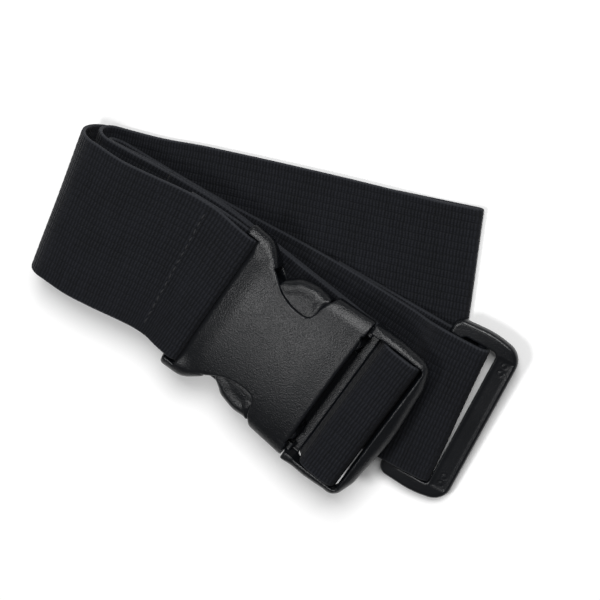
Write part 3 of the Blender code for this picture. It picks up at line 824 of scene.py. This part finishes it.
def section_field(x, y, z):
    """The socket's rounded cross-section, wider at its ears and lower at both ends."""
    side = np.abs(y)
    half_width = np.interp(x, [-40.4, -30, -24, -5, 9.5], [29.0, 28.4, 27.0, 26.8, 27.9])
    ears = eased(side, 19, 26) * eased(-x, 28, 36)
    fall = (1.3 - 0.7 * ears) * eased(-x, 27, 38) + 0.3 * eased(x, 0, 9.5)
    half_height = 6 - crown(y) * (1 - 0.4 * ears) - fall
    return box_field(side * 27.5 / half_width, z * 6 / half_height, 27.5, 6, 4.8)


def socket_field(x, y, z):
    """The socket: a crowned sleeve with a window in each side, and an end bar between two ears."""
    side = np.abs(y)
    edge = 0.4 + 0.6 * eased(-side, -26, -22) + 0.8 * eased(-x, 20, 36)
    body = meet(section_field(x, y, z), span_field(x, SLEEVE_START, MOUTH_X), edge)
    body = meet(body, -window_field(x, side), 0.55 + 2.2 * eased(-x, 21, 29))
    # The webbing's slot, open at the end of the sleeve.
    slot = np.maximum(x + 35.6, side - SLOT_HALF)
    body = meet(body, -slot, 0.9 + 0.7 * eased(-side, -24.5, -21.0))
    # The cavity is higher where the arms' heads are.
    over_arms = eased(side, 9, 11.5) * eased(-side, -20.0, -17.5) * eased(-x, 4.6, 6.2)
    roof = 3.5 + 0.75 * over_arms
    cavity = np.maximum(np.maximum(side - 22.2, np.abs(z) - roof), -26 - x)
    body = meet(body, -cavity, 0.6)
    # A pocket beside the mouth takes the tab on each of the plug's rails.
    pocket = np.maximum(np.maximum(7.1 - x, side - 26.4), np.abs(z + 0.8) - 1.3)
    body = meet(body, -pocket, 0.2)
    bar = np.maximum(np.hypot(x - END_BAR_X, z) - 1.8, side - 27)
    return join(body, bar, 0.5)


FRAME = rounded(mirrored([
    (35.5, 3.0, 60.0),
    (34.0, 20.0, 7.0),
    (31.6, 27.6, 4.5),
    (20.0, 28.5, 14.0),
    (10.15, 28.1, 0.5),
]))
frame_field = outline_field(FRAME)


def plug_field(x, y, z):
    """The plug: a frame with a grip bar outside the mouth, and a guide between the arms inside it."""
    half_height = np.interp(x, [11, 30.5, 32, 35.5], [5.0, 4.1, 3.7, 1.7]) - 0.55 * crown(y)
    plate = np.abs(z + 0.15) - half_height
    edge = 0.5 + 1.5 * eased(x, 10.5, 15) + 0.6 * eased(-x, -31, -27)
    body = meet(frame_field(x, y), plate, edge)
    # The far side of the opening stands closer to the webbing below than above.
    ledge = 0.62 * eased(-z, 0.8, 3.2)
    opening = box_field(x - 22.3 + ledge, y, 8.7 - ledge, 25.35, 1.5)
    body = meet(body, -opening, 0.6)
    # The wall at the mouth stands lower than the rails.
    notch = np.maximum(np.maximum(x - 15.5, np.abs(y) - 24.9), -3.1 - z)
    body = meet(body, -notch, 0.5)
    # A tab on each rail enters a pocket beside the mouth, so that the seam shows no daylight.
    tab = np.maximum(box_field(x - 9.6, z + 0.8, 1.6, 0.9, 0.3), np.abs(np.abs(y) - 24.3) - 1.8)
    body = join(body, tab, 0.2)
    # The grip bar leaves room in the webbing round it for the plug's play.
    grip = np.maximum(box_field(x - 23.2, z - 0.15, 4.0, 1.75, 1.2), np.abs(y) - SLOT_HALF - 1)
    body = join(body, grip, 0.4)
    root = np.maximum(box_field(x - 5.0, z + 0.6, 3.2, 3.7, 0.5), np.abs(y) - 15)
    tongue = np.maximum(box_field(x - 8.5, z + 3.9, 3.4, 0.7, 0.4), np.abs(y) - 15)
    root = join(root, tongue, 0.4)
    guide = np.maximum(box_field(x + 10.5, z, 14.5, 2.1, 0.5), np.abs(y) - 4.5)
    return np.minimum(join(body, root, 0.4), guide)


ARM = rounded([
    (10.4, 21.2, 2.5), (3.0, 21.6, 2.0), (-5.6, 21.4, 0.8), (-5.4, 25.1, 1.2),
    (-11.6, 25.9, 9.0), (-17.6, 24.3, 5.0), (-21.8, 20.4, 3.0), (-23.2, 16.6, 1.5),
    (-21.5, 14.2, 1.0), (-8.0, 14.4, 2.0), (-2.0, 17.4, 4.0), (10.4, 16.0, 2.5),
])
arm_outline = outline_field(ARM)


def arm_field(x, y, z):
    """A release arm whose head has a raised rim on its outer side and a dished face."""
    plan = arm_outline(x, y)
    rim = eased(plan, -5.0, -2.2) * eased(y, 18.0, 22.0)
    dish = eased(-plan, 2.4, 5.8)
    face = eased(-x, 5.6, 7.4) * eased(-x, 25.5, 21.0)
    height = np.minimum(4.0, 5.3 - crown(y)) + 0.3 * rim - 0.3 * dish
    half_height = 3.1 + (height - 3.1) * face
    edge = 0.7 + 1.9 * eased(y, 18.5, 22.5) * eased(-x, 5.0, 8.0)
    return meet(plan, np.abs(z) - half_height, edge)


def right_arm_field(x, y, z):
    return arm_field(x, -y, z)


def add_buckle():
    dark, light = (0.0020, 0.0024, 0.0034), (0.0034, 0.0040, 0.0052)
    plastic = plastic_material("buckle_plastic", dark, light, 0.33, 0.10 * MM)
    place = Matrix.Translation((0, BUCKLE_Y, BUCKLE_MIDDLE))

    def add(name, node, body, field, low, high, step):
        add_moulding(name, node, body, plastic, field, low, high, step, place)

    add("socket_shell", "socket_housing", "socket", socket_field, (-43, -29.4, -6.8), (10.4, 29.4, 6.8), 0.4)
    add("plug_body", "plug_frame", "plug", plug_field, (-26, -29.4, -6), (37, 29.4, 6), 0.4)
    arms = (("left", arm_field, 13.4, 27), ("right", right_arm_field, -27, -13.4))
    for side, field, low, high in arms:
        low, high = (-26, low, -5.2), (11.4, high, 5.2)
        add(f"arm_{side}_body", f"release_arm_{side}", f"arm_{side}", field, low, high, 0.3)


# ---- Slide adjuster ----

ADJUSTER = rounded(mirrored([(12.0, 28.9, 6.5), (1.0, 31.0, 30.0), (-12.0, 30.0, 3.5)]))
adjuster_outline = outline_field(ADJUSTER)


def adjuster_field(u, v, w):
    """The slide adjuster: three bars in one flat moulded frame, with raised ends."""
    side = np.abs(v)
    low_bar = eased(u, 4.4, 6.4) * eased(-side, -25.6, -24.6) * eased(-u, -11.2, -10.0)
    plate = np.abs(w) - 1.8 + 0.3 * low_bar
    body = meet(adjuster_outline(u, v), plate, 1.25)
    opening = box_field(u + 1.4, v, 6.0, SLOT_HALF, 1.6)
    body = meet(body, -opening, 0.6)
    middle = np.maximum(box_field(u - ADJUSTER_BAR_U, w, 1.5, 1.4, 1.1), side - SLOT_HALF - 1)
    body = join(body, middle, 0.3)
    # Two small rings are sunk into the bar near each end.
    for at in (23.2, 20.4):
        mark = np.maximum(np.abs(np.hypot(u - 8.4, side - at) - 0.95) - 0.16, 1.36 - w)
        body = meet(body, -mark, 0.08)
    return body


def add_adjuster():
    dark, light = (0.0024, 0.0028, 0.0038), (0.0044, 0.0050, 0.0064)
    plastic = plastic_material("adjuster_plastic", dark, light, 0.32, 0.05 * MM)
    add_moulding(
        "adjuster_body", "slide_adjuster", "strap", plastic,
        adjuster_field, (-13, -32, -2.6), (13, 32, 2.6), 0.35, adjuster_matrix(),
    )


add_camera()
add_studio()
add_webbing()
add_stitching()
add_buckle()
add_adjuster()
